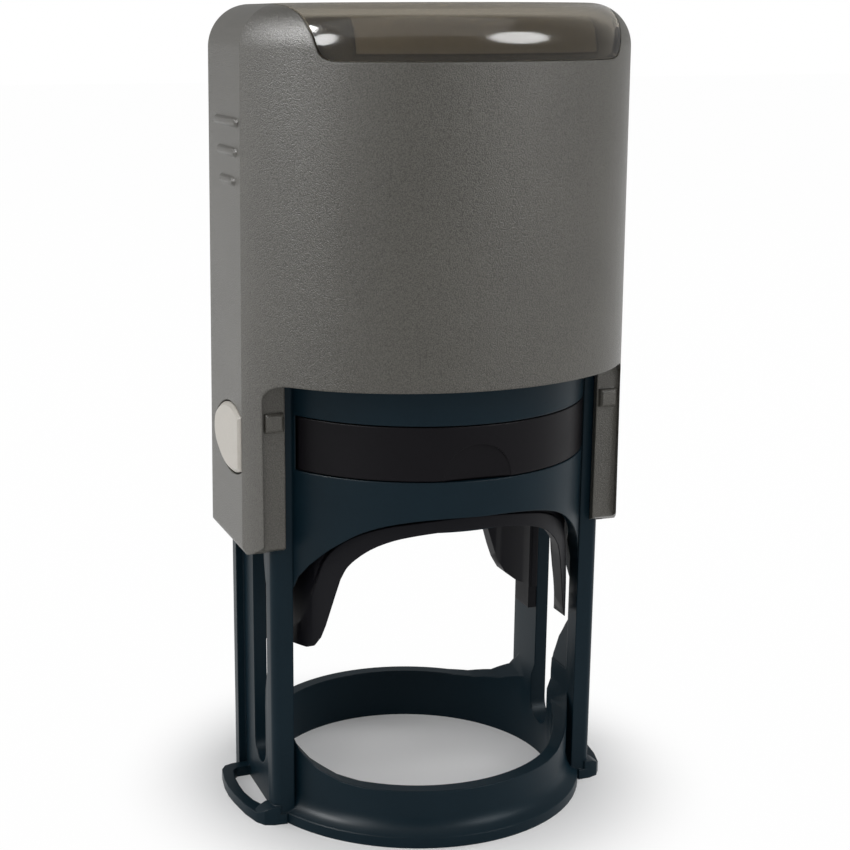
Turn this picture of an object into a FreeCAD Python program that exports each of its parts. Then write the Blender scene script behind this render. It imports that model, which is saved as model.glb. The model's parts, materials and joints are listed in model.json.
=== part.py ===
import FreeCAD, Part
import math
import os

os.makedirs("parts", exist_ok=True)
V = FreeCAD.Vector

# Self-inking round desk stamp. Millimetres, Z up, origin on the desk under the
# middle of the base ring. The front of the stamp looks along minus Y.

# Driving sizes
TOTAL_HEIGHT = 118.7
HOUSING_HALF_WIDTH = 29.2
HOUSING_WALL = 2.2
FRONT_RADIUS = 35.7
FRONT_CENTRE = 7.5
CORNER_RADIUS = 23.72
CORNER_X = 6.185
CORNER_Y = 2.762
DRAFT = math.radians(0.5)
DRAFT_LEVEL = 80.0
TOP_RADIUS = 6.0
LEG_BOTTOM = 41.8
SKIRT_BOTTOM = 67.9
LEG_INNER = 24.2
LEG_FLANGE_OUT = 12.6
LEG_FLANGE_IN = 11.6
LEG_CAVITY = 26.6
LEG_STEP = 27.6
ROOF_UNDERSIDE = 113.6

RING_INNER = 22.4
RING_OUTER = 24.5
RING_HEIGHT = 8.0
FLANGE_RADIUS = 26.5
FLANGE_HEIGHT = 1.6
DRUM_OUTER = 25.3
DRUM_MID = 23.7
DRUM_INNER = 22.0
DRUM_TOP = 72.0
COLUMN_IN = 22.8
COLUMN_OUT = 26.0
COLUMN_FLOOR = 24.8
COLUMN_HALF_DEPTH = 11.3
RIB_DEPTH = 2.9
SLOT_HALF = 3.0
SLOT_BOTTOM = 5.2
SLOT_TOP = 52.0
KNEE_DEPTH = 8.2
KNEE_HEIGHT = 28.6
BAY_BOTTOM = 54.6
BAY_TOP = 62.6
BAY_HALF = 22.4

STROKE = 38.0
PIVOT_HEIGHT = 47.7
PLATEN_RADIUS = 21.2
DIE_RADIUS = 20.65
DIE_FACE = 6.0
AXLE_RADIUS = 1.2
HUB_RADIUS = 2.4

CARTRIDGE_HALF = 22.1
CARTRIDGE_BOTTOM = 54.8
CARTRIDGE_TOP = 62.4
PAD_BOTTOM = 57.5
PAD_TOP = 61.2
PAD_RADIUS = 21.6

SPRING_RADIUS = 8.0
SPRING_WIRE = 1.2
SPRING_BOTTOM = 65.8
SPRING_TOP = 112.4
SPRING_TURNS = 6.0

BUTTON_Y = -3.0
BUTTON_Z = 58.0
BUTTON_HALF_Y = 8.7
BUTTON_HALF_Z = 5.0
BUTTON_END_RADIUS = 3.2
BUTTON_CUT = -5.1
BUTTON_FACE = 29.8
BUTTON_BACK = 28.45
PEG_RADIUS = 2.0


def box(x0, x1, y0, y1, z0, z1):
    return Part.makeBox(x1 - x0, y1 - y0, z1 - z0, V(x0, y0, z0))


def cylinder(radius, z0, z1):
    return Part.makeCylinder(radius, z1 - z0, V(0, 0, z0), V(0, 0, 1))


def tube(inner, outer, z0, z1):
    return cylinder(outer, z0, z1).cut(cylinder(inner, z0 - 1, z1 + 1))


# Rod along X and ring along Z with flat sides, for small hidden pieces and holes.
def faceted_rod_x(radius, x0, x1, y, z, sides=24):
    turns = [2 * math.pi * i / sides for i in range(sides)]
    points = [(y + radius * math.cos(t), z + radius * math.sin(t)) for t in turns]
    return prism_along_x(points, x0, x1)


def faceted_tube(inner, outer, z0, z1, sides=24):
    turns = [2 * math.pi * i / sides for i in range(sides)]
    rims = [[(r * math.cos(t), r * math.sin(t)) for t in turns] for r in (outer, inner)]
    return prism_up(rims[0], z0, z1).cut(prism_up(rims[1], z0 - 1, z1 + 1))


def mirror_x(shape):
    return shape.mirror(V(0, 0, 0), V(1, 0, 0))


def both_sides(shape):
    return shape.fuse(mirror_x(shape))


def prism(points, start, along):
    wire = Part.makePolygon([start + p for p in points + points[:1]])
    return Part.Face(wire).extrude(along)


def prism_along_y(points, y0, y1):
    return prism([V(x, 0, z) for x, z in points], V(0, y0, 0), V(0, y1 - y0, 0))


def prism_along_x(points, x0, x1):
    return prism([V(0, y, z) for y, z in points], V(x0, 0, 0), V(x1 - x0, 0, 0))


def prism_up(points, z0, z1):
    return prism([V(x, y, 0) for x, y in points], V(0, 0, z0), V(0, 0, z1 - z0))


def save(name, shape, refine=True):
    if refine:
        shape = shape.removeSplitter()
    shape.exportStep("parts/" + name + ".step")
    print(name, len(shape.Solids), "solid", shape.isValid(), round(shape.Volume, 1))


# Half of an upright section through the housing: a side that leans in by the
# mould's draft and turns over into the flat top in a few narrow bands.
def side_section(reach, z0, z1, radius, bands):
    lean = math.tan(DRAFT)
    middle = z1 - radius
    centre = reach - (middle - DRAFT_LEVEL) * lean - radius / math.cos(DRAFT)
    points = [V(0, 0, z1), V(0, 0, z0), V(reach - (z0 - DRAFT_LEVEL) * lean, 0, z0)]
    for i in range(bands + 1):
        turn = DRAFT + (math.pi / 2 - DRAFT) * i / bands
        points.append(V(centre + radius * math.cos(turn), 0, middle + radius * math.sin(turn)))
    return Part.Face(Part.makePolygon(points + points[:1]))


def round_block(x, y, reach, z0, z1, radius, bands):
    solid = side_section(reach, z0, z1, radius, bands).revolve(V(0, 0, 0), V(0, 0, 1), 360)
    solid.translate(V(x, y, 0))
    return solid


def flat_block(reach, z0, z1, radius, bands):
    half = side_section(reach, z0, z1, radius, bands)
    half.translate(V(0, -40, 0))
    return both_sides(half.extrude(V(0, 80, 0))).removeSplitter()


# The whole block in plan: two flat sides, a broad round front and the same back,
# joined by tighter corner rounds that start at a crisp upright edge.
def outline_block(inset, z0, z1, radius, bands=6):
    slab = flat_block(HOUSING_HALF_WIDTH - inset, z0, z1, radius, bands)
    broad = round_block(0, FRONT_CENTRE, FRONT_RADIUS - inset, z0, z1, radius, bands)
    reach = CORNER_RADIUS - inset
    corner = round_block(CORNER_X, -CORNER_Y, reach, z0, z1, radius, bands)
    slope = CORNER_X / (FRONT_CENTRE + CORNER_Y)
    near, far = 4.0, 45.0
    x_near = (FRONT_CENTRE + near) * slope
    x_far = (FRONT_CENTRE + far) * slope
    middle = slab.common(box(-50, 50, -near, near, z0 - 1, z1 + 1))
    wedge = [(-x_near, -near), (x_near, -near), (x_far, -far), (-x_far, -far)]
    front = broad.common(prism_up(wedge, z0 - 1, z1 + 1))
    side = [(x_near, -near), (60, -near), (60, -far), (x_far, -far)]
    right = corner.common(slab).common(prism_up(side, z0 - 1, z1 + 1))
    front = front.fuse([right, mirror_x(right)])
    back = front.mirror(V(0, 0, 0), V(0, 1, 0))
    return middle.fuse([front, back])


# Front view outline of the index window: wide on top, narrower on the front.
def window_region(grow):
    half = [(23.9, 125.0), (23.9, 118.6), (23.2, 118.1), (22.6, 117.2), (22.25, 115.8), (21.95, 114.4)]
    half = half + [(21.7, 113.3), (21.45, 112.4), (20.9, 111.7), (19.9, 111.35), (18.6, 111.3)]
    right = [(x + grow, z - grow * (0.6 if z < 112.6 else 0.0)) for x, z in half]
    left = [(-x, z) for x, z in reversed(right)]
    return prism_along_y(right + left, -40, 40)


def window_skin(depth):
    outer = outline_block(0.0, 90.0, TOTAL_HEIGHT, TOP_RADIUS)
    inner = outline_block(depth, 80.0, TOTAL_HEIGHT - depth, TOP_RADIUS - depth, 3)
    return outer.cut(inner)


def window_cover():
    return window_skin(1.6).common(window_region(0.0))


def index_card():
    outer = outline_block(1.75, 90.0, TOTAL_HEIGHT - 1.75, TOP_RADIUS - 1.75, 3)
    inner = outline_block(2.05, 80.0, TOTAL_HEIGHT - 2.05, TOP_RADIUS - 2.05, 3)
    sheet = outer.cut(inner)
    return sheet.common(box(-16.7, 16.7, -40, 0, 112.2, 130))


def grip_ribs():
    ribs = []
    for z, y0, y1 in ((102.9, -7.1, 3.8), (98.85, -6.4, 2.4), (94.85, -5.3, 1.3)):
        rings = []
        for y, radius in ((y0 - 0.6, 0.35), (y0, 0.7), (y1, 0.7), (y1 + 0.6, 0.35)):
            turns = [math.radians(30 * i) for i in range(12)]
            corners = [V(28.8 + radius * math.cos(t), y, z + radius * math.sin(t)) for t in turns]
            rings.append(Part.makePolygon(corners + corners[:1]))
        ribs.append(Part.makeLoft(rings, True, True))
    return ribs


def snap_nubs():
    nubs = []
    for side in (-1, 1):
        nub = box(24.5, 27.2, -LEG_FLANGE_OUT - 0.8, -LEG_FLANGE_OUT + 0.5, 60.6, 63.3)
        nub = nub.makeChamfer(0.35, [e for e in nub.Edges if e.CenterOfMass.y < -LEG_FLANGE_OUT - 0.75])
        nubs.append(nub if side > 0 else nub.mirror(V(0, 0, 0), V(0, 1, 0)))
    return nubs


# Oval of four arcs, cut straight where it meets the housing's front corner.
def button_opening(gap, x0, x1):
    long_half = BUTTON_HALF_Y + gap
    high_half = BUTTON_HALF_Z + gap
    end = BUTTON_END_RADIUS + gap
    reach = BUTTON_HALF_Y - BUTTON_END_RADIUS
    drop = (reach ** 2 + BUTTON_HALF_Z ** 2 - BUTTON_END_RADIUS ** 2) / 2
    drop = drop / (BUTTON_HALF_Z - BUTTON_END_RADIUS) - BUTTON_HALF_Z
    broad = drop + high_half
    span = math.hypot(reach, drop)
    join = (reach / span * broad, drop / span * broad - drop)
    cut = BUTTON_CUT - gap
    rise = math.sqrt(broad ** 2 - cut ** 2) - drop
    points = [(cut, rise), (0, high_half), join, (long_half, 0)]
    points = points + [(join[0], -join[1]), (0, -high_half), (cut, -rise)]
    p = [V(x0, BUTTON_Y + y, BUTTON_Z + z) for y, z in points]
    arcs = [Part.Arc(p[i], p[i + 1], p[i + 2]).toShape() for i in (0, 2, 4)]
    face = Part.Face(Part.Wire(arcs + [Part.makeLine(p[6], p[0])]))
    return face.extrude(V(x1 - x0, 0, 0))


# What is cut away under the legs, seen from the side and from the front.
def leg_end_cuts():
    half = [(7.6, LEG_BOTTOM), (9.4, LEG_BOTTOM + 0.15), (11.0, LEG_BOTTOM + 0.7), (12.6, LEG_BOTTOM + 1.6)]
    half = half + [(14.0, LEG_BOTTOM + 2.6), (40, LEG_BOTTOM + 3.0), (40, 30)]
    below = prism_along_x(half + [(-y, z) for y, z in reversed(half)], -40, 40)
    edge = [(28.5, LEG_BOTTOM - 0.1), (29.1, LEG_BOTTOM + 0.2), (29.4, LEG_BOTTOM + 0.7)]
    edge = edge + [(29.6, LEG_BOTTOM + 1.5), (32, LEG_BOTTOM + 1.5), (32, 30), (28.5, 30)]
    return [below, both_sides(prism_along_y(edge, -40, 40))]


# Recess down the front of each leg, round at its upper outer corner.
def leg_recess(y0, y1):
    top = SKIRT_BOTTOM
    side = [(LEG_INNER - 1, 30), (LEG_STEP, 30), (LEG_STEP, top - 2.6), (LEG_STEP - 0.15, top - 1.75)]
    side = side + [(LEG_STEP - 0.55, top - 1.0), (LEG_STEP - 1.15, top - 0.45), (LEG_STEP - 1.9, top - 0.1)]
    side = side + [(LEG_STEP - 2.7, top), (LEG_INNER - 1, top)]
    return both_sides(prism_along_y(side, y0, y1))


def housing():
    shell = outline_block(0.0, LEG_BOTTOM, TOTAL_HEIGHT, TOP_RADIUS)
    cavity = outline_block(HOUSING_WALL, 30.0, ROOF_UNDERSIDE, 3.0, 1)
    upper_cavity = cavity.common(box(-LEG_CAVITY, LEG_CAVITY, -40, 40, SKIRT_BOTTOM, 130))
    leg_cavity = box(-LEG_CAVITY, LEG_CAVITY, -LEG_FLANGE_IN, LEG_FLANGE_IN, 30, SKIRT_BOTTOM + 1)
    shell = shell.cut(upper_cavity).cut(leg_cavity)
    # Below the skirt only the two legs are left.
    shell = shell.cut(box(-LEG_INNER, LEG_INNER, -40, 40, 30, SKIRT_BOTTOM))
    shell = shell.cut(leg_recess(-40, -LEG_FLANGE_OUT)).cut(leg_recess(LEG_FLANGE_OUT, 40))
    for tool in leg_end_cuts():
        shell = shell.cut(tool)
    # Seat of the index window, and the card well under it.
    shell = shell.cut(window_skin(1.7).common(window_region(0.2)))
    shell = shell.cut(window_skin(2.2).common(box(-17.0, 17.0, -40, 14.4, 112.0, 130)))
    shell = shell.fuse([r for rib in grip_ribs() for r in (rib, mirror_x(rib))])
    shell = shell.fuse([n for nub in snap_nubs() for n in (nub, mirror_x(nub))])
    # Openings of the two release buttons, with a thin floor behind them.
    floor = button_opening(1.0, 26.3, 27.5).common(box(20, 30, -8.6, 8.6, 40, 70))
    opening = button_opening(0.25, 27.0, 32.0)
    peg_hole = faceted_rod_x(PEG_RADIUS + 0.25, 26.0, 28.0, BUTTON_Y, BUTTON_Z)
    pin_hole = faceted_rod_x(AXLE_RADIUS + 0.07, 24.0, 28.3, 0, PIVOT_HEIGHT)
    shell = shell.fuse(both_sides(floor)).cut(both_sides(opening.fuse(peg_hole).fuse(pin_hole)))
    # Seat ring for the upper spring cap.
    return shell.fuse(faceted_tube(11.4, 13.0, ROOF_UNDERSIDE - 3.0, ROOF_UNDERSIDE + 0.2))


# Opening in the outer drum wall, seen from the front.
def outer_arch():
    half = [(0, 49.4), (5.0, 49.35), (9.5, 48.9), (13.1, 48.0), (15.6, 46.8), (17.4, 45.4)]
    half = half + [(19.4, 43.4), (21.1, 41.0), (22.2, 38.8), (22.8, 36.2), (22.8, 14.0)]
    half = half + [(21.9, 11.4), (20.0, 9.4), (17.2, 8.3), (14.5, RING_HEIGHT)]
    left = [(-x, z) for x, z in reversed(half[1:])]
    return prism_along_y(half + left, -40, 40)


# Opening in the inner drum wall, with the slanted cheeks beside it. Grown, it is
# the outline of the raised rim that runs along the edge.
def inner_arch(grow):
    half = [(0, 47.1), (5.0, 46.9), (9.9, 46.0), (12.9, 44.7), (14.9, 43.1), (16.4, 41.2)]
    half = half + [(17.2, 39.2), (17.7, 37.0), (18.3, 34.2), (18.8, 31.8), (19.3, 29.8)]
    half = half + [(20.0, 28.2), (20.8, 27.6), (22.1, 27.5), (22.1, 8.0)]
    half = [(x + grow * min(x / 14.9, 1.0), z + grow * (1.0 if z < 40 else 0.9)) for x, z in half]
    half[0] = (0, 47.1 + grow)
    left = [(-x, z) for x, z in reversed(half[1:])]
    return prism_along_y(half + left, -40, 40)


# Round ring with a foot flange that flares out below in a hollow sweep.
def base_ring():
    ring = tube(RING_INNER, RING_OUTER, 0, 15)
    flange = tube(RING_INNER, FLANGE_RADIUS, 0, FLANGE_HEIGHT)
    bands = [(FLANGE_RADIUS, 0.0), (25.5, 0.55), (24.9, 1.25), (RING_OUTER, 2.6)]
    parts = [flange]
    for (r0, z0), (r1, z1) in zip(bands[:-1], bands[1:]):
        cone = Part.makeCone(r0, r1, z1 - z0, V(0, 0, FLANGE_HEIGHT + z0), V(0, 0, 1))
        parts.append(cone.cut(cylinder(RING_INNER, 0, 20)))
    return ring.fuse(parts).removeSplitter()


def column_blank():
    block = box(COLUMN_IN, COLUMN_OUT, -COLUMN_HALF_DEPTH, COLUMN_HALF_DEPTH, 0, DRUM_TOP)
    outer = [e for e in block.Edges if e.CenterOfMass.x > COLUMN_OUT - 0.01]
    upright = [e for e in outer if abs(e.CenterOfMass.z - DRUM_TOP / 2) < 1]
    return block.makeFillet(1.2, upright)


# Slot in the column's thin wall, seen from the side: straight at the back, with a
# knee towards the front half way up.
def column_slot():
    low, high, half = SLOT_BOTTOM + SLOT_HALF, SLOT_TOP - SLOT_HALF, SLOT_HALF
    knee = [(-half, 15.5), (-3.3, 18.5), (-4.2, 21.5), (-5.8, 24.0), (-7.5, 26.3)]
    knee = knee + [(-KNEE_DEPTH, KNEE_HEIGHT), (-7.8, 30.2), (-6.6, 31.8), (-5.0, 33.8)]
    knee = knee + [(-3.9, 36.0), (-3.2, 38.5), (-half, 41.0)]
    turns = [math.radians(15 * i) for i in range(13)]
    foot_end = [(half * math.cos(t), low - half * math.sin(t)) for t in turns]
    head_end = [(-half * math.cos(t), high + half * math.sin(t)) for t in turns]
    return prism_along_x(foot_end + knee + head_end, 19.0, 27.0)


# A channel down the outside leaves a wall between two ribs, and a shallow hollow
# on the inside thins that wall in front of the slot.
def column_cuts():
    rib = COLUMN_HALF_DEPTH - RIB_DEPTH
    outside = box(COLUMN_FLOOR, 27.0, -rib, rib, -1.0, DRUM_TOP + 1)
    hollow = [(20.0, 17.3), (22.9, 17.6), (23.2, 19.5), (23.6, 23.0), (23.8, 27.0)]
    hollow = hollow + [(23.8, 45.0), (20.0, 48.0)]
    inside = prism_along_y(hollow, -rib, 0.0)
    return [outside, inside, column_slot()]


# Flat foot beside each column: a low rim round an opening, raised a little where
# it meets the column's front rib.
def foot():
    rim = [(24.0, -11.7), (26.0, -11.6), (27.4, -11.1), (28.3, -9.8), (29.2, -6.7)]
    rim = rim + [(29.8, -2.6), (30.0, 0.0), (29.9, 2.9), (29.4, 6.3), (28.6, 7.6), (27.2, 8.1), (24.0, 8.3)]
    hole = [(COLUMN_FLOOR, -7.6), (26.7, -7.5), (27.6, -5.6), (28.2, -2.6), (28.3, 0.0), (28.2, 2.9)]
    hole = hole + [(27.7, 5.4), (26.9, 6.3), (COLUMN_FLOOR, 6.4)]
    band = prism_up(rim, 0, FLANGE_HEIGHT)
    gusset = [(25.0, 0), (28.2, 0), (28.2, FLANGE_HEIGHT), (27.5, 2.2), (26.6, 2.7), (25.0, 2.9)]
    gusset = prism_along_y(gusset, -11.6, -8.6).common(prism_up(rim, 0, 5))
    return band.cut(prism_up(hole, -1, 7)).fuse(gusset)


# Ring shaped liner under the cartridge: its arch shows below the drum's own arch,
# and its slanted cheeks guard the ends of the text plate's axle.
def inner_liner():
    wall = tube(DRUM_INNER, DRUM_MID - 0.5, 27.5, BAY_BOTTOM)
    rim = tube(DRUM_INNER + 0.5, DRUM_MID, 27.5, 50.0).common(inner_arch(1.9))
    collar = tube(DRUM_INNER + 0.5, DRUM_MID, 50.8, BAY_BOTTOM)
    liner = wall.fuse([rim, collar]).cut(inner_arch(0.0))
    guides = box(21.4, COLUMN_IN, 3.1, 8.2, 24.0, 48.0).common(cylinder(DRUM_MID - 0.1, 20.0, 50.0))
    guides = both_sides(guides)
    liner = liner.fuse(guides)
    liner = liner.cut(both_sides(column_slot()))
    return liner.cut(both_sides(column_blank()))


def frame():
    shell = tube(DRUM_MID, DRUM_OUTER, 26, DRUM_TOP).cut(outer_arch())
    ring = base_ring().cut(outer_arch())
    columns = both_sides(column_blank())
    body = shell.fuse([ring, columns])
    for tool in column_cuts():
        body = body.cut(tool).cut(mirror_x(tool))
    body = body.fuse(both_sides(foot()))
    body = body.cut(cylinder(RING_INNER, -1, RING_HEIGHT + 8))
    deck = cylinder(DRUM_MID + 0.2, 63.6, 65.8)
    seat = faceted_tube(SPRING_RADIUS - 3.2, SPRING_RADIUS - 1.4, 65.6, 70.0)
    body = body.fuse([deck, seat])
    bay = box(-BAY_HALF, BAY_HALF, -40, 40, BAY_BOTTOM, BAY_TOP)
    return body.cut(bay)


def ink_cartridge():
    body = cylinder(DRUM_OUTER - 0.05, CARTRIDGE_BOTTOM, CARTRIDGE_TOP)
    body = body.common(box(-CARTRIDGE_HALF, CARTRIDGE_HALF, -40, 40, 50, 70))
    body = body.cut(cylinder(PAD_RADIUS + 0.2, CARTRIDGE_BOTTOM - 1, PAD_TOP))
    scoop = Part.makeCylinder(5.0, 3.0, V(0, -DRUM_OUTER - 2.4, CARTRIDGE_BOTTOM), V(0, 1, 0))
    return body.cut(scoop)


def ink_pad():
    rim = Part.makeCone(PAD_RADIUS - 0.5, PAD_RADIUS, 0.5, V(0, 0, PAD_BOTTOM), V(0, 0, 1))
    return rim.fuse(cylinder(PAD_RADIUS, PAD_BOTTOM + 0.5, PAD_TOP))


def platen():
    plate = cylinder(PLATEN_RADIUS, PIVOT_HEIGHT - 1.6, PIVOT_HEIGHT + 2.4)
    plate = plate.cut(cylinder(PLATEN_RADIUS - 1.4, PIVOT_HEIGHT - 2.6, PIVOT_HEIGHT + 0.6))
    ribs = box(-20.2, 20.2, -0.8, 0.8, PIVOT_HEIGHT - 1.6, PIVOT_HEIGHT + 1.0)
    ribs = ribs.fuse([box(-0.8, 0.8, -20.2, 20.2, PIVOT_HEIGHT - 1.6, PIVOT_HEIGHT + 1.0)])
    ribs = ribs.fuse([box(-12.0, -10.6, -16.0, 16.0, PIVOT_HEIGHT - 1.6, PIVOT_HEIGHT + 1.0)])
    ribs = ribs.fuse([box(10.6, 12.0, -16.0, 16.0, PIVOT_HEIGHT - 1.6, PIVOT_HEIGHT + 1.0)])
    hubs = both_sides(faceted_rod_x(HUB_RADIUS, 15.0, 24.2, 0, PIVOT_HEIGHT))
    body = plate.fuse([ribs, hubs])
    body = body.cut(cylinder(40, PIVOT_HEIGHT + 2.4, PIVOT_HEIGHT + 9))
    return body.cut(both_sides(faceted_rod_x(AXLE_RADIUS, 15.8, 26.0, 0, PIVOT_HEIGHT)))


def die_cushion():
    return cylinder(DIE_RADIUS, PIVOT_HEIGHT + 2.4, PIVOT_HEIGHT + 3.9)


# The printing face: two raised rings and plain bars, with no lettering.
def text_die():
    z = PIVOT_HEIGHT + 3.9
    top = PIVOT_HEIGHT + DIE_FACE
    base = cylinder(DIE_RADIUS, z, z + 1.3)
    raised = [faceted_tube(19.3, 20.3, z + 1.2, top, 60), faceted_tube(12.6, 13.2, z + 1.2, top, 48)]
    for i in range(24):
        bar = box(14.6, 17.8, -0.45, 0.45, z + 1.2, top)
        bar.rotate(V(0, 0, 0), V(0, 0, 1), 15 * i + 7.5)
        raised.append(bar)
    for y, half in ((4.2, 7.6), (1.4, 9.4), (-1.4, 9.4), (-4.2, 7.6)):
        raised.append(box(-half, half, y - 0.55, y + 0.55, z + 1.2, top))
    return base.fuse(raised)


def axle_pin():
    pin = faceted_rod_x(AXLE_RADIUS, 15.9, 28.1, 0, PIVOT_HEIGHT)
    return pin.makeChamfer(0.2, [e for e in pin.Edges if e.CenterOfMass.x > 28.05])


def guide_block():
    block = box(24.5, LEG_CAVITY, -2.7, 2.7, PIVOT_HEIGHT - 2.7, PIVOT_HEIGHT + 2.7)
    block = block.makeChamfer(0.7, [e for e in block.Edges if abs(e.CenterOfMass.x - 25.55) < 0.2])
    return block.cut(faceted_rod_x(AXLE_RADIUS + 0.08, 24.0, 28.0, 0, PIVOT_HEIGHT))


def spring_cap():
    plate = faceted_tube(3.0, 11.2, SPRING_TOP, ROOF_UNDERSIDE)
    boss = faceted_tube(3.0, SPRING_RADIUS - 1.4, SPRING_TOP - 4.0, SPRING_TOP + 0.2)
    return plate.fuse(boss)


# Corners of the wire's five sided section at one place along the coil.
def wire_section(angle, height):
    corners = []
    for k in range(5):
        turn = math.radians(72 * k)
        reach = SPRING_RADIUS + SPRING_WIRE / 2 * math.cos(turn)
        z = height + SPRING_WIRE / 2 * math.sin(turn)
        corners.append(V(reach * math.cos(angle), reach * math.sin(angle), z))
    return corners


def flat_face(corners):
    return Part.Face(Part.makePolygon(corners + corners[:1]))


def main_spring():
    steps = int(SPRING_TURNS * 12)
    rise = (SPRING_TOP - SPRING_BOTTOM - SPRING_WIRE) / steps
    low = SPRING_BOTTOM + SPRING_WIRE / 2
    rings = [wire_section(math.radians(30 * i), low + rise * i) for i in range(steps + 1)]
    faces = [flat_face(rings[0]), flat_face(rings[-1])]
    for a, b in zip(rings[:-1], rings[1:]):
        for k in range(5):
            n = (k + 1) % 5
            faces.append(flat_face([a[k], a[n], b[n]]))
            faces.append(flat_face([a[k], b[n], b[k]]))
    coil = Part.Solid(Part.makeShell(faces))
    return coil if coil.Volume > 0 else coil.reversed()


def release_button():
    plate = button_opening(0.0, BUTTON_BACK, BUTTON_FACE)
    rim = [e for e in plate.Edges if e.CenterOfMass.x > BUTTON_FACE - 0.01]
    plate = plate.makeChamfer(0.45, rim)
    peg = faceted_rod_x(PEG_RADIUS, 27.15, BUTTON_BACK + 0.4, BUTTON_Y, BUTTON_Z)
    return plate.fuse(peg)


def button_spring():
    washer = faceted_rod_x(3.8, 27.0, 27.3, BUTTON_Y, BUTTON_Z)
    return washer.cut(faceted_rod_x(2.6, 26.0, 28.0, BUTTON_Y, BUTTON_Z))


save("frame", frame())
save("inner_liner", inner_liner())
save("housing", housing(), False)
save("window_cover", window_cover(), False)
save("index_card", index_card(), False)
save("ink_cartridge", ink_cartridge())
save("ink_pad", ink_pad())
save("platen", platen())
save("die_cushion", die_cushion())
save("text_die", text_die())
save("axle_pin_right", axle_pin())
save("axle_pin_left", mirror_x(axle_pin()))
save("guide_block_right", guide_block())
save("guide_block_left", mirror_x(guide_block()))
save("spring_cap", spring_cap())
save("main_spring", main_spring(), False)
save("release_button_right", release_button())
save("release_button_left", mirror_x(release_button()))
save("button_spring_right", button_spring())
save("button_spring_left", mirror_x(button_spring()))
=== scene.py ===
# %% [markdown]
# # A self-inking round desk stamp
# The stamp is a grey moulded housing that slides down over a dark plastic frame. Its
# solids come from the part's own source. In this lesson the moulded shells are copied
# and shaded smoothly, the other solids take a finish as they stand, and the few wound
# or soft pieces are made again with more form: the spring, the ink pad and the foam
# behind the text plate.

# %% Load the frame
import json
import math

import bmesh
import bpy
from mathutils import Matrix, Vector
from mathutils.geometry import interpolate_bezier


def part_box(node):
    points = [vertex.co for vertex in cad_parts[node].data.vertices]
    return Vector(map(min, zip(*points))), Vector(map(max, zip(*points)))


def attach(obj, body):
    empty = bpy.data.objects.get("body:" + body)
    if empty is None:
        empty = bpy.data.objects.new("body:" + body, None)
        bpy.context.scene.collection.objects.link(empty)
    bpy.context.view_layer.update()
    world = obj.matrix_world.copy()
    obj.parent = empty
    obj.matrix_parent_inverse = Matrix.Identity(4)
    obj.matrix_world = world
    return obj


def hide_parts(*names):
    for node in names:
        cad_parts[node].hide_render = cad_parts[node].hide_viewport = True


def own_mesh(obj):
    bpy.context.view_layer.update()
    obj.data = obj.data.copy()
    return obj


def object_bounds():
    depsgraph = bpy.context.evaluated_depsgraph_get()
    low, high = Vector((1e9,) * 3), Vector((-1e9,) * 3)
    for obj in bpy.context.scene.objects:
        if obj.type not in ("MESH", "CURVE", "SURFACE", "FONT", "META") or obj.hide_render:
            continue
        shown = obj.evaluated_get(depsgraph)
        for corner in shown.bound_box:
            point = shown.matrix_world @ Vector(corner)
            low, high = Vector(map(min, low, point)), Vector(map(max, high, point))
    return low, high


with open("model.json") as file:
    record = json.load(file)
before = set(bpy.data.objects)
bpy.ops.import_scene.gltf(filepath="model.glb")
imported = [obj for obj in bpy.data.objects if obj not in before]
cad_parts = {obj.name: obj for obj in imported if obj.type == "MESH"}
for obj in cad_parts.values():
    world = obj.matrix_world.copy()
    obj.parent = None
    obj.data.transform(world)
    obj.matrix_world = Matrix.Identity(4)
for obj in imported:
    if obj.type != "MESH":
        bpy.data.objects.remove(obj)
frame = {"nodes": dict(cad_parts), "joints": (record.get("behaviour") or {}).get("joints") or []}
cad_box = [list(corner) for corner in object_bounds()]
print("solids loaded:", len(frame["nodes"]), "box", cad_box)

# %% [markdown]
# ## Shader sums written as sums
# A finish is a small graph of nodes. Linking every Math node by hand hides the idea, so
# a wrapper turns Python's own operators into nodes: `0.29 + grain * 0.12` adds two nodes
# and links them. Sums on plain numbers never reach the graph.

# %% A socket that can be added and multiplied
class Wave:
    def __init__(self, tree, socket):
        self.tree = tree
        self.socket = socket

    def sum_of(self, operation, first, second):
        node = self.tree.nodes.new("ShaderNodeMath")
        node.operation = operation
        for place, value in zip(node.inputs, (first, second)):
            feed(self.tree, place, value)
        return Wave(self.tree, node.outputs[0])

    def __add__(self, other):
        return self.sum_of("ADD", self, other)

    def __mul__(self, other):
        return self.sum_of("MULTIPLY", self, other)

    __radd__ = __add__
    __rmul__ = __mul__


def feed(tree, place, value):
    if isinstance(value, Wave):
        tree.links.new(value.socket, place)
    else:
        place.default_value = value


# %% [markdown]
# ## Any other node
# Nodes that aren't sums all come from one method. It takes the node's type, its settings,
# and the values or links of its sockets: by name, or by number where one name is given
# to several sockets, as on the Mix node.

# %% A graph of nodes
class Graph:
    def __init__(self, tree):
        self.tree = tree

    def node(self, kind, settings=None, out=0, numbered=None, **named):
        made = self.tree.nodes.new(kind)
        for key, value in (settings or {}).items():
            setattr(made, key, value)
        for number, value in (numbered or {}).items():
            feed(self.tree, made.inputs[number], value)
        for key, value in named.items():
            feed(self.tree, made.inputs[key.replace("_", " ")], value)
        return Wave(self.tree, made.outputs[out])

    def ray(self, kind):
        return self.node("ShaderNodeLightPath", out=f"Is {kind} Ray")


# %% [markdown]
# ## One finish, one material
# Every finish starts from the Principled shader with plain values on its sockets. Only
# what truly changes over a surface, such as its colour, roughness or relief, is linked.
# A painted image would need each piece unwrapped. Noise in the object's own space needs
# no unwrapping, moves with the piece, and has the same scale on all pieces.

# %% A finish
MILLIMETRES_IN_METRE = 1000


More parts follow.
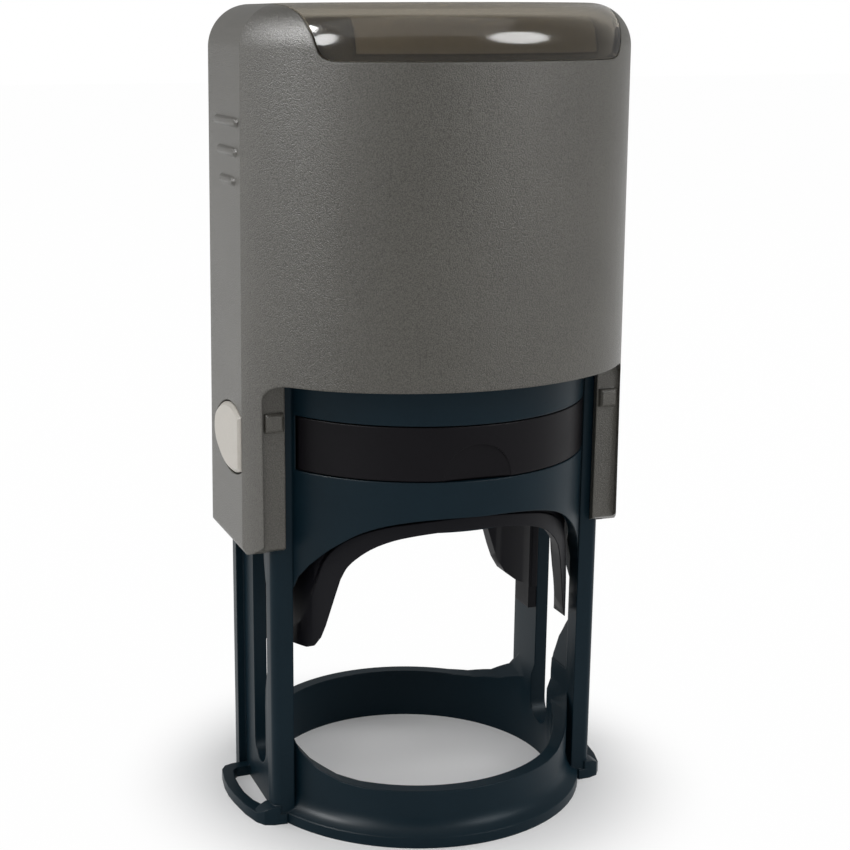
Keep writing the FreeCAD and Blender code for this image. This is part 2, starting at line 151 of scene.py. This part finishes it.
class Finish(Graph):
    def __init__(self, name, colour, roughness, **plain):
        self.material = bpy.data.materials.new(name)
        self.material.use_nodes = True
        super().__init__(self.material.node_tree)
        self.shader = self.tree.nodes["Principled BSDF"]
        self.set("Base Color", (*colour, 1))
        self.set("Roughness", roughness)
        for socket, value in plain.items():
            self.set(socket.replace("_", " "), value)
        self.place = self.node("ShaderNodeTexCoord", out="Object")

    def set(self, socket, value):
        feed(self.tree, self.shader.inputs[socket], value)

    def noise(self, millimetres, detail=2.0):
        scale = MILLIMETRES_IN_METRE / millimetres
        return self.node("ShaderNodeTexNoise", out="Fac", Vector=self.place, Scale=scale, Detail=detail)

    def contrast(self, wave, low, high):
        return self.node("ShaderNodeMapRange", out="Result", Value=wave, From_Min=low, From_Max=high)

    def tint(self, factor, dark, light):
        mixed = {0: factor, 6: (*dark, 1), 7: (*light, 1)}
        self.set("Base Color", self.node("ShaderNodeMix", {"data_type": "RGBA"}, out=2, numbered=mixed))

    def relief(self, height, millimetres, strength=1.0, edge=0.0):
        # The depth of the relief and the rounding of sharp edges are in millimetres.
        sockets = {"Height": height, "Distance": millimetres / MILLIMETRES_IN_METRE, "Strength": strength}
        if edge:
            radius = edge / MILLIMETRES_IN_METRE
            sockets["Normal"] = self.node("ShaderNodeBevel", {"samples": 6}, out="Normal", Radius=radius)
        self.set("Normal", self.node("ShaderNodeBump", out="Normal", **sockets))


# %% [markdown]
# ## Moulded housing
# The housing is a warm grey plastic whose mould was spark eroded, which leaves an even
# pebbled grain about a sixth of a millimetre wide. A painted speckle would look flat
# from the side, so the grain is relief first, with a faint tint that follows it.

# %% Housing finish
housing_grey = Finish("housing_grey", (0.097, 0.092, 0.080), 0.45, Specular_IOR_Level=0.45)
pebble = housing_grey.contrast(housing_grey.noise(0.17), 0.34, 0.66)
cloud = housing_grey.noise(14.0)
housing_grey.tint(pebble * 0.7 + cloud * 0.3, (0.050, 0.047, 0.040), (0.144, 0.137, 0.117))
housing_grey.set("Roughness", 0.29 + pebble * 0.12)
housing_grey.relief(pebble, 0.05, 0.6, edge=0.35)
print("housing grain 0.17 mm")

# %% [markdown]
# ## Dark frame plastic
# The frame is a smooth blue black moulding, and the liner and the ink cartridge are made
# in the same way. A single flat colour would look like a drawing. The real surface isn't
# textured, but it is slightly wavy where the plastic shrank, and rubbed a little duller
# where hands touch it, so one function gives all three a slow wave and a fine speck.

# %% Frame, liner and cartridge finishes
def smooth_plastic(name, dark, light, roughness):
    finish = Finish(name, dark, roughness, Specular_IOR_Level=0.1)
    wave = finish.noise(6.0, detail=1.0)
    speck = finish.noise(0.5)
    finish.tint(wave * 0.6 + speck * 0.4, dark, light)
    finish.set("Roughness", roughness - 0.04 + wave * 0.10 + speck * 0.05)
    finish.relief(wave * 0.7 + speck * 0.3, 0.02, 0.35, edge=0.3)
    print("smooth plastic:", name)
    return finish


frame_blue = smooth_plastic("frame_blue_black", (0.0045, 0.0155, 0.0240), (0.0070, 0.0210, 0.0315), 0.34)
liner_black = smooth_plastic("liner_black", (0.0055, 0.0055, 0.0078), (0.0085, 0.0085, 0.0118), 0.42)
# The cartridge's colour is its own near-black plastic, set darker still to stand for the shade under the
# housing's skirt: partly painted shade.
cartridge_black_and_shade = smooth_plastic("cartridge_black_and_shade", (0.0038, 0.0032, 0.0048), (0.0058, 0.0048, 0.0070), 0.38)

# %% [markdown]
# ## Smoked index window
# The window is a clear cap tinted brown. It could be a see-through surface with a coat,
# but that has no thickness. Transmission with a tinted base colour gives a slab that
# darkens whatever lies under it, and keeps sharp highlights on its rounded edge. Its flat
# top, where the palm presses, is rubbed duller: the mask is the height part of the
# surface normal, squared so that it counts for both faces of the slab.

# %% Window finish
window_smoke = Finish("window_smoke", (0.34, 0.305, 0.245), 0.06, Transmission_Weight=1.0, IOR=1.49)
haze = window_smoke.noise(9.0, detail=1.0)
facing = window_smoke.node("ShaderNodeTexCoord", out="Normal")
level = window_smoke.node("ShaderNodeSeparateXYZ", out="Z", Vector=facing)
rubbed = window_smoke.contrast(level * level, 0.88, 0.995)
window_smoke.set("Roughness", 0.10 + haze * 0.05 + rubbed * 0.40)
print("window rubbed on its flat top")

# %% [markdown]
# ## Index card
# Under the window lies a slip of plain card. Paper scatters all light, so it has no
# gloss. Fine noise with many layers stands for the fibres, in tint and in relief.

# %% Card finish
card_paper = Finish("card_paper", (0.41, 0.385, 0.34), 0.85)
fibre = card_paper.noise(0.8, detail=5.0)
card_paper.tint(fibre, (0.36, 0.335, 0.295), (0.46, 0.435, 0.385))
card_paper.relief(fibre, 0.01, 0.3)

# %% [markdown]
# ## Release buttons
# The two oval buttons are pale ivory plastic with a fine satin grain. The wide edge
# radius of the relief makes their rims look as soft as a fingertip finds them.

# %% Button finish
button_ivory = Finish("button_ivory", (0.60, 0.57, 0.51), 0.42)
satin = button_ivory.noise(0.3)
button_ivory.tint(satin, (0.565, 0.53, 0.47), (0.635, 0.60, 0.54))
button_ivory.relief(satin, 0.03, 0.4, edge=0.5)

# %% [markdown]
# ## Drawn steel
# The coil, the axle pins and the small rings behind the buttons are drawn steel. Brushed
# lines could be stretched along each wire, but on wire this thin they are finer than a
# pixel, so noise varies only the tint and the roughness.

# %% Steel finish
drawn_steel = Finish("drawn_steel", (0.56, 0.56, 0.57), 0.3, Metallic=1.0)
drawing = drawn_steel.noise(0.25, detail=1.0)
drawn_steel.tint(drawing, (0.47, 0.47, 0.48), (0.64, 0.64, 0.65))
drawn_steel.set("Roughness", 0.24 + drawing * 0.14)

# %% [markdown]
# ## Rubber, foam and felt
# The text plate is moulded rubber with a dull bloom, and the foam layer above it is full
# of closed pores. Round cells would be heavy as geometry, so a Voronoi pattern presses
# them in, and also paints them darker inside as painted shade. The ink pad is felt:
# woolly up close, and darker where it is soaked.

# %% Rubber, foam and felt finishes
die_rubber = Finish("die_rubber", (0.25, 0.09, 0.06), 0.6)
bloom = die_rubber.noise(2.0, detail=3.0)
die_rubber.tint(bloom, (0.215, 0.075, 0.05), (0.285, 0.11, 0.075))
die_rubber.relief(bloom, 0.03, 0.4)

foam_grey = Finish("foam_grey", (0.05, 0.05, 0.055), 0.9)
pore_depth_and_shade = foam_grey.node("ShaderNodeTexVoronoi", out="Distance", Vector=foam_grey.place, Scale=1600.0)
# Painted shade: the pores are also tinted darker where they are pressed in deepest, besides their relief.
foam_grey.tint(pore_depth_and_shade, (0.03, 0.03, 0.034), (0.075, 0.075, 0.082))
foam_grey.relief(pore_depth_and_shade, 0.15, 0.7)

inked_felt = Finish("inked_felt", (0.012, 0.012, 0.022), 0.75)
wool = inked_felt.noise(0.45, detail=6.0)
soaked = inked_felt.noise(7.0)
inked_felt.tint(wool * 0.5 + soaked * 0.5, (0.006, 0.006, 0.012), (0.022, 0.021, 0.038))
inked_felt.set("Roughness", 0.55 + wool * 0.35)
inked_felt.relief(wool, 0.12, 0.6)
print("materials in the file:", len(bpy.data.materials))

# %% [markdown]
# ## Dress the moulded solids
# A solid whose shape is right stays, and only takes its finish. It could be replaced by a
# copy, but its material slot is all that has to change. The list reads like a parts list:
# the finish, then the nodes that wear it.

# %% Finishes on the solids
worn_by = (
    (cartridge_black_and_shade, ("ink_cartridge",)),
    (frame_blue, ("platen", "guide_block_right", "guide_block_left", "spring_cap")),
    (die_rubber, ("text_die",)),
    (button_ivory, ("release_button_right", "release_button_left")),
    (drawn_steel, ("axle_pin_right", "axle_pin_left", "button_spring_right", "button_spring_left")),
)
for finish, node_names in worn_by:
    for node_name in node_names:
        for worn in frame["nodes"][node_name].material_slots:
            worn.material = finish.material
print("solids dressed:", sum(len(node_names) for finish, node_names in worn_by))

# %% [markdown]
# ## Shells with soft rounding
# The rounding along the housing's top is cut in a few flat bands in the solid. On the
# real cap it is one smooth curve, yet the upright corner of the cap stays crisp. Smooth
# shading that averages neighbouring faces would blur both and bend the highlights in
# the clear window. The cap's curve is known, though: in plan two flat sides, a broad
# arc and tighter corner arcs, and in height a slight lean and a 6 mm rounding. So each
# face that lies along that curve gets the curve's own normals.

# %% The cap's curve, in metres
CAP_TOP = round(cad_box[1][2], 5)
CAP_ROUND = 0.006
ROUND_FOOT = CAP_TOP - CAP_ROUND
LEAN = math.radians(0.5)
PLAN_HEIGHT = 0.08
FLAT_SIDE = 0.0292
BROAD_MIDDLE_Y, BROAD_REACH = -0.0075, 0.0357
CORNER_MIDDLE_X, CORNER_MIDDLE_Y, CORNER_REACH = 0.006185, 0.002762, 0.02372
# Each arc's middle in plan and its reach at the plan's height. A side has no middle in Y.
ARCS = {
    "side": (0.0, None, FLAT_SIDE),
    "broad": (0.0, BROAD_MIDDLE_Y, BROAD_REACH),
    "corner": (CORNER_MIDDLE_X, CORNER_MIDDLE_Y, CORNER_REACH),
}
SEAM_SLOPE = CORNER_MIDDLE_X / (CORNER_MIDDLE_Y - BROAD_MIDDLE_Y)


def along_curve(spot, arc):
    # How a point lies along the curve: its way out in plan, how far out the rounding's
    # centre is, its distance from that centre, and its turn from level towards the top.
    middle_x, middle_y, reach = ARCS[arc]
    out = Vector((abs(spot.x) - middle_x, 0 if middle_y is None else abs(spot.y) - middle_y))
    rise = spot.z - ROUND_FOOT
    centre = reach - (ROUND_FOOT - PLAN_HEIGHT) * math.tan(LEAN) - CAP_ROUND / math.cos(LEAN)
    side = max(out.length - centre, 0.0)
    if rise > 0:
        return out, centre, math.hypot(side, rise), max(LEAN, math.atan2(rise, side))
    return out, centre, side + rise * math.tan(LEAN), LEAN


def mirrored(spot, x, y, z):
    # The front is at minus Y; the back mirrors it, as the left mirrors the right.
    return Vector((x if spot.x > 0 else -x, y if spot.y > 0 else -y, z))


def curve_normal(spot, arc):
    out, centre, radius, turn = along_curve(spot, arc)
    out.normalize()
    return mirrored(spot, out.x * math.cos(turn), out.y * math.cos(turn), math.sin(turn))


def onto_curve(spot, arc, radii):
    out, centre, radius, turn = along_curve(spot, arc)
    radius = min(radii, key=lambda choice: abs(choice - radius))
    middle_x, middle_y, reach = ARCS[arc]
    out = out.normalized() * (centre + radius * math.cos(turn))
    y = abs(spot.y) if middle_y is None else out.y + middle_y
    return mirrored(spot, out.x + middle_x, y, ROUND_FOOT + radius * math.sin(turn))


print("cap rounding from", round(ROUND_FOOT, 4), "to", CAP_TOP)

# %% [markdown]
# ## Which arc a face lies on
# The wall has an outside and an inside, so a face may lie on a larger or a smaller radius
# of the same rounding. A face is matched by its place and its direction, and each arc
# only counts on its own side of the seam where broad arc and corner arc meet. A vertex
# group painted by hand would do it too, but it would be lost each time model.glb is made again.

# %% The nearest arc
NEAR_CURVE = math.cos(math.radians(17))
NEAR_RADIUS = 0.00025
NEAR_SEAM = 0.0003
NEAR_CENTRE = 0.0001
MISS_COUNTS, TURN_COUNTS = 5000, 40
NO_ARC = (9.0, None, 0)


def best_arc(centre, normal, radii):
    best = NO_ARC
    past_seam = abs(centre.x) - (abs(centre.y) - BROAD_MIDDLE_Y) * SEAM_SLOPE
    for arc in ARCS:
        if arc == "broad" and past_seam > NEAR_SEAM or arc == "corner" and past_seam < -NEAR_SEAM:
            continue
        out, middle, radius, turn = along_curve(centre, arc)
        match = curve_normal(centre, arc).dot(normal)
        miss = min(abs(radius - choice) for choice in radii)
        if out.length > middle - NEAR_CENTRE and miss < NEAR_RADIUS and abs(match) > NEAR_CURVE:
            rank = miss * MISS_COUNTS + (1 - abs(match)) * TURN_COUNTS
            best = min(best, (rank, arc, 1 if match > 0 else -1))
    return best[1:]


# %% [markdown]
# ## Finer rounding and its normals
# A subdivision modifier would round the whole shell, corners too. Here only the faces on
# the rounding are cut, in three each way, and their points are set onto the curve. After
# that the curve's normals go on as custom normals, and level faces keep their own.

# %% Finer rounding, curved normals
LEVEL_FACE = 0.998
UPRIGHT_FACE = 0.03
HAIR = 5e-5


def finer_rounding(build, radii):
    def on_rounding():
        for face in build.faces:
            centre = face.calc_center_median()
            if centre.z > ROUND_FOOT + HAIR and UPRIGHT_FACE < abs(face.normal.z) < LEVEL_FACE:
                arc = best_arc(centre, face.normal, radii)[0]
                if arc:
                    yield face, arc
    edges = {edge for face, arc in on_rounding() for edge in face.edges}
    bmesh.ops.subdivide_edges(build, edges=list(edges), cuts=2, use_grid_fill=True)
    build.normal_update()
    moves = {vert: onto_curve(vert.co, arc, radii) for face, arc in on_rounding() for vert in face.verts}
    for vert, spot in moves.items():
        vert.co = spot
    print("points set on the rounding:", len(moves))


def curved_normals(mesh, radii):
    normals = [Vector(corner.vector) for corner in mesh.corner_normals]
    for face in mesh.polygons:
        level_face = abs(face.normal.z) > LEVEL_FACE
        arc, sign = (None, 0) if level_face else best_arc(face.center, face.normal, radii)
        for corner in face.loop_indices if arc or level_face else []:
            spot = mesh.vertices[mesh.loops[corner].vertex_index].co
            normals[corner] = face.normal if level_face else curve_normal(spot, arc) * sign
    return normals


# %% [markdown]
# ## Arches drawn in one line
# The arches of the frame and the liner are cut along short straight runs. On the real
# mouldings each is one flowing line. A mesh smoother would pull the walls along too, so
# a curve is drawn through the corners of the runs instead, and every point of the edge
# only moves up or down onto it, within its own upright wall.

# %% Arch lines, as half outlines from the middle outwards, in millimetres
DRUM_ARCH = (
    (0, 49.4), (5, 49.35), (9.5, 48.9), (13.1, 48),
    (15.6, 46.8), (17.4, 45.4), (19.4, 43.4), (21.1, 41),
)
LINER_ARCH = (
    (0, 47.1), (5, 46.9), (9.9, 46), (12.9, 44.7),
    (14.9, 43.1), (16.4, 41.2), (17.2, 39.2),
)
LINER_RIM = (
    (0, 49), (5.638, 48.61), (11.162, 47.71), (14.545, 46.41),
    (16.8, 44.81), (18.3, 42.91), (19.1, 41.1),
)
ON_THE_LINE = 0.008
POINTS_IN_RUN = 24


def height_at(line, x):
    for (x0, z0), (x1, z1) in zip(line[:-1], line[1:]):
        if x0 <= x <= x1:
            return z0 + (z1 - z0) * (x - x0) / (x1 - x0)
    return None


def drawn_through(corners):
    # The half outline goes on past both its ends, mirrored at the middle, to give the
    # curve a direction there.
    knots = [Vector((-corners[1][0], 0, corners[1][1])), *(Vector((x, 0, z)) for x, z in corners)]
    knots.append(knots[-1] * 2 - knots[-2])
    line = []
    for before, start, end, after in zip(knots, knots[1:], knots[2:], knots[3:]):
        reach = (end - start).length / 3
        lead = (end - before).normalized() * reach
        tail = (after - start).normalized() * reach
        run = interpolate_bezier(start, start + lead, end - tail, end, POINTS_IN_RUN)
        line += [(spot.x, spot.z) for spot in run]
    return line


def soften_arch(build, corners):
    line = drawn_through(corners)
    moved = 0
    for vert in build.verts:
        x, z = abs(vert.co.x) * MILLIMETRES_IN_METRE, vert.co.z * MILLIMETRES_IN_METRE
        straight, curved = height_at(corners, x), height_at(line, x)
        if straight and curved and abs(z - straight) < ON_THE_LINE:
            vert.co.z = curved / MILLIMETRES_IN_METRE
            moved += 1
    print("arch points moved:", moved)


# %% [markdown]
# ## Put a piece in its place
# Every new piece is linked into the scene, rides on the body it belongs to through an
# empty, wears its finish, and hides the one solid that it stands in for.

# %% Place a piece
def place_piece(name, mesh, finish, body, node_name):
    mesh.materials.clear()
    mesh.materials.append(finish.material)
    piece = bpy.data.objects.new(name, mesh)
    bpy.context.collection.objects.link(piece)
    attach(piece, body)
    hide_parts(node_name)
    print(name, "faces", len(mesh.polygons))
    return piece


# %% [markdown]
# ## Smooth copies of the outer shells
# Each shell is a copy of its solid with its points welded. Edges that fold sharply stay
# crisp, and on the cap even a shallow fold does where it runs upright, because that is
# the cap's corner. Shading a whole shell smooth by one angle would lose that corner.

# %% Smooth shells
WELD = 2e-6
STEEP_FOLD = math.radians(33)
UPRIGHT_FOLD = math.radians(8)
UPRIGHT_RUN = 0.94
OUTSIDE, INSIDE, WINDOW_SEAT, WINDOW_INSIDE = CAP_ROUND, 0.0038, 0.0043, 0.0044
CARD_TOP, CARD_UNDERSIDE = 0.00425, 0.00395


def keep_crisp(build, has_curve):
    crisp = 0
    for edge in build.edges:
        if len(edge.link_faces) != 2:
            continue
        fold = edge.calc_face_angle(0.0)
        run = edge.verts[1].co - edge.verts[0].co
        upright = has_curve and abs(run.z) > UPRIGHT_RUN * run.length
        edge.smooth = fold < (UPRIGHT_FOLD if upright else STEEP_FOLD)
        crisp += not edge.smooth
    print("crisp edges:", crisp)


def smooth_shell(name, node_name, finish, body, radii=(), fine=(), arches=()):
    solid = frame["nodes"][node_name]
    build = bmesh.new()
    build.from_mesh(solid.data)
    bmesh.ops.transform(build, matrix=solid.matrix_world, verts=build.verts[:])
    bmesh.ops.remove_doubles(build, verts=build.verts[:], dist=WELD)
    if fine:
        finer_rounding(build, fine)
    for corners in arches:
        soften_arch(build, corners)
    for face in build.faces:
        face.smooth = True
    keep_crisp(build, has_curve=bool(radii))
    mesh = bpy.data.meshes.new(name)
    build.to_mesh(mesh)
    build.free()
    if radii:
        mesh.normals_split_custom_set(curved_normals(mesh, radii))
    return place_piece(name, mesh, finish, body, node_name)


smooth_shell("cap_shell", "housing", housing_grey, "housing",
             radii=(OUTSIDE, WINDOW_SEAT, INSIDE), fine=(OUTSIDE,))
smooth_shell("window_shell", "window_cover", window_smoke, "window",
             radii=(OUTSIDE, WINDOW_INSIDE), fine=(OUTSIDE, WINDOW_INSIDE))
smooth_shell("card_sheet", "index_card", card_paper, "housing",
             radii=(CARD_TOP, CARD_UNDERSIDE))
smooth_shell("frame_shell", "frame", frame_blue, "frame", arches=[DRUM_ARCH])
smooth_shell("liner_shell", "inner_liner", liner_black, "frame",
             arches=[LINER_ARCH, LINER_RIM])

# %% [markdown]
# ## Meshes from rings of points
# The coil and both round pads are rows of rings joined by quads. The Screw modifier could
# turn a profile into either, but then the spring's pitch could not ease in and out. One
# helper joins the rings and closes the ends, so the pieces only differ in where their
# rings lie.

# %% Rings to mesh
def mesh_of_rings(name, rings, finish, body, replaced):
    mesh = bpy.data.meshes.new(name)
    build = bmesh.new()
    rows = [[build.verts.new(point) for point in ring] for ring in rings]
    count = len(rings[0])
    for low, high in zip(rows[:-1], rows[1:]):
        for i in range(count):
            j = (i + 1) % count
            build.faces.new((low[i], low[j], high[j], high[i]))
    build.faces.new(list(reversed(rows[0])))
    build.faces.new(rows[-1])
    bmesh.ops.recalc_face_normals(build, faces=build.faces[:])
    for face in build.faces:
        face.smooth = len(face.verts) == 4
    build.to_mesh(mesh)
    build.free()
    return place_piece(name, mesh, finish, body, replaced)


# %% [markdown]
# ## Main spring
# A compression spring has its end turns closed, so that it stands flat, and open turns
# between them. Rings set along the wire let the pitch ease in and out. The share of its
# length that the coil keeps when the housing is pressed down by the stroke is worked out.

# %% Coil
SPRING_FOOT, SPRING_HEAD = 0.0658, 0.1124
SPRING_RADIUS, SPRING_WIRE, SPRING_TURNS = 0.008, 0.0012, 6.0
END_TURN_EASE = 0.55


def coil_rings(low, high, radius, wire, turns, steps=28, sides=12):
    rings = []
    total = int(turns * steps)
    rise = high - low - wire
    for i in range(total + 1):
        done = i / total
        # Closed end turns: the climb starts and ends slowly.
        ease = done - math.sin(2 * math.pi * done) / (2 * math.pi) * END_TURN_EASE
        angle = 2 * math.pi * turns * done
        out = Vector((math.cos(angle), math.sin(angle), 0))
        centre = out * radius + Vector((0, 0, low + wire / 2 + rise * ease))
        ring = []
        for k in range(sides):
            turn = 2 * math.pi * k / sides
            up = Vector((0, 0, wire / 2 * math.sin(turn)))
            ring.append(centre + out * (wire / 2 * math.cos(turn)) + up)
        rings.append(ring)
    return rings


wire_rings = coil_rings(SPRING_FOOT, SPRING_HEAD, SPRING_RADIUS, SPRING_WIRE, SPRING_TURNS)
coil = mesh_of_rings("press_coil", wire_rings, drawn_steel, "frame", "main_spring")
stroke = next(joint["range_m"][1] for joint in frame["joints"] if joint["name"] == "press_slide")
spring_length = SPRING_HEAD - SPRING_FOOT
pressed_share = (spring_length - stroke) / spring_length
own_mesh(coil)
print("coil keeps", round(pressed_share, 3), "of its length over a stroke of", stroke)

# %% [markdown]
# ## Ink pad and foam
# Both are round pads cut from sheet, and lie where their solids lie. A bevel on the solid
# would give a rim, but not a soft face: here the rims are pulled in softly, and the
# felt's face bellies down a little in the middle, as a soaked pad does.

# %% Round pads
# Stations of the underside from the middle outwards: share of radius, share of belly.
UNDERSIDE = ((0.15, 1.0), (0.55, 0.4), (0.85, 0.0))
TOP_MIDDLE = 0.2
RIM_POINTS = 6


def pad_rings(node_name, edge, belly, steps=96):
    lowest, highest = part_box(node_name)
    radius, low, high = (round(size, 5) for size in (highest[0], lowest[2], highest[2]))
    quarter = [math.radians(90 * i / (RIM_POINTS - 1)) for i in range(RIM_POINTS)]
    profile = [(radius * out, low + belly * share) for out, share in UNDERSIDE]
    profile += [(radius - edge + edge * math.sin(a), low + edge - edge * math.cos(a)) for a in quarter]
    profile += [(radius - edge + edge * math.cos(a), high - edge + edge * math.sin(a)) for a in quarter]
    profile.append((radius * TOP_MIDDLE, high))
    turns = [2 * math.pi * k / steps for k in range(steps)]
    return [[Vector((r * math.cos(t), r * math.sin(t), z)) for t in turns] for r, z in profile]


felt = mesh_of_rings("felt_pad", pad_rings("ink_pad", edge=0.0007, belly=0.0001),
                     inked_felt, "frame", "ink_pad")
foam = mesh_of_rings("foam_layer", pad_rings("die_cushion", edge=0.0003, belly=0.0),
                     foam_grey, "platen", "die_cushion")

# %% [markdown]
# ## Floor
# The floor is a wide sheet of pale paper. A shadow catcher would need the picture to be
# laid over white afterwards. Instead the paper under the stamp takes the shadow, and
# further out it shines by itself to the camera and in reflections, so that it runs into
# the white background without a horizon.

# %% Floor
FLOOR_SIZE = 6.0
floor_paper = Finish("floor_white", (0.93, 0.93, 0.935), 0.9)
looked_at = floor_paper.ray("Camera") + floor_paper.ray("Glossy") + floor_paper.ray("Transmission")
away = floor_paper.node("ShaderNodeVectorMath", {"operation": "LENGTH"}, out="Value",
                        Vector=floor_paper.place)
shine = floor_paper.node("ShaderNodeMapRange", {"interpolation_type": "SMOOTHERSTEP"}, out="Result",
                         Value=away, From_Min=0.021, From_Max=0.050, To_Min=0.12, To_Max=0.985)
glow = floor_paper.node("ShaderNodeEmission", Color=(1, 1, 1, 1))
plain_paper = Wave(floor_paper.tree, floor_paper.shader.outputs[0])
blend = floor_paper.node("ShaderNodeMixShader", numbered={0: looked_at * shine, 1: plain_paper, 2: glow})
feed(floor_paper.tree, floor_paper.tree.nodes["Material Output"].inputs[0], blend)

bpy.ops.mesh.primitive_plane_add(size=FLOOR_SIZE, location=(0, 0, 0))
floor = bpy.context.object
floor.name = "floor"
floor.data.materials.append(floor_paper.material)
print("floor", FLOOR_SIZE, "m wide")

# %% [markdown]
# ## Background
# The world is white to the camera, but it lights the stamp at a third of that, so that
# the plastic keeps its depth. Reflections and the clear window see a part of the white.
# The Light Path node tells the kinds of rays apart; one plain strength could not.

# %% World
WORLD_LIGHT = 0.32
world = bpy.data.worlds.new("studio")
bpy.context.scene.world = world
world.use_nodes = True
air = Graph(world.node_tree)
direct = air.ray("Camera") + air.ray("Glossy") * 0.15 + air.ray("Transmission") * 0.5
background = air.tree.nodes["Background"]
background.inputs["Color"].default_value = (1, 1, 1, 1)
feed(air.tree, background.inputs["Strength"], direct * (1 - WORLD_LIGHT) + WORLD_LIGHT)
print("world light", WORLD_LIGHT)

# %% [markdown]
# ## Soft boxes
# Two boxes stand well to the sides, so that the broad front is darker than the narrow
# side and the right end, and a wide one hangs overhead. A box in front would brighten
# the front too. Three reflecting cards give the clear window and the rounded ear their
# highlights: they are seen in reflections only and add no light to the plain surfaces.
# The cards are oval, because a highlight on a clear edge shows its card's outline.

# %% Lamps
LIT_POINT = Vector((0, 0, 0.07))
LAMP_DISTANCE = 0.85


def way_to(turn, rise):
    # The direction from the stamp to a place that is turned to the right of the front,
    # and raised, both in degrees.
    turn, rise = math.radians(turn), math.radians(rise)
    return Vector((math.sin(turn) * math.cos(rise), -math.cos(turn) * math.cos(rise), math.sin(rise)))


def soft_box(name, turn, rise, width, height, watts, card=False, shine=True):
    light = bpy.data.lights.new(name, "AREA")
    light.shape = "ELLIPSE" if card else "RECTANGLE"
    light.size = width
    light.size_y = height
    light.energy = watts
    lamp = bpy.data.objects.new(name, light)
    way = way_to(turn, rise)
    lamp.location = LIT_POINT + way * LAMP_DISTANCE
    lamp.rotation_euler = (-way).to_track_quat("-Z", "Y").to_euler()
    lamp.visible_diffuse = not card
    lamp.visible_glossy = shine
    lamp.visible_transmission = False
    bpy.context.collection.objects.link(lamp)
    print(name, "at", tuple(round(c, 2) for c in lamp.location))


soft_box("left_box", turn=-120, rise=20, width=0.45, height=0.60, watts=2.1)
soft_box("right_box", turn=96, rise=18, width=0.40, height=0.60, watts=2.6, shine=False)
soft_box("top_box", turn=-8, rise=60, width=1.10, height=0.80, watts=2.3)
soft_box("right_card", turn=38, rise=26, width=0.42, height=0.36, watts=5.0, card=True)
soft_box("left_card", turn=-62, rise=25, width=0.24, height=0.38, watts=3.8, card=True)
soft_box("ear_card", turn=-88, rise=38, width=0.28, height=0.42, watts=13.0, card=True)

# %% [markdown]
# ## Camera
# The camera stands a little left of the front and looks down by fourteen degrees. A long
# lens keeps the upright edges nearly parallel, as in the photograph. The stamp sits off
# the lens's middle, and shifting the lens keeps that without turning the camera.

# %% Camera
CAMERA_TURN, CAMERA_TILT, CAMERA_ROLL = -18.04, 14.22, -0.15
CAMERA_PLACE = Vector((-0.090084, -0.232889, 0.116483))
view = bpy.data.cameras.new("camera")
view.sensor_width = 36.0
view.lens = 71.48
view.shift_x = 0.118
view.shift_y = 0.0265
view.clip_start = 0.01
view.clip_end = 20.0
camera = bpy.data.objects.new("camera", view)
bpy.context.collection.objects.link(camera)
ahead = -way_to(CAMERA_TURN, CAMERA_TILT)
aim = ahead.to_track_quat("-Z", "Y").to_matrix().to_4x4()
roll = Matrix.Rotation(math.radians(CAMERA_ROLL), 4, "Z")
camera.matrix_world = Matrix.Translation(CAMERA_PLACE) @ aim @ roll
bpy.context.scene.camera = camera
bpy.context.scene.view_settings.view_transform = "Standard"
print("camera looks along", tuple(round(c, 3) for c in ahead))
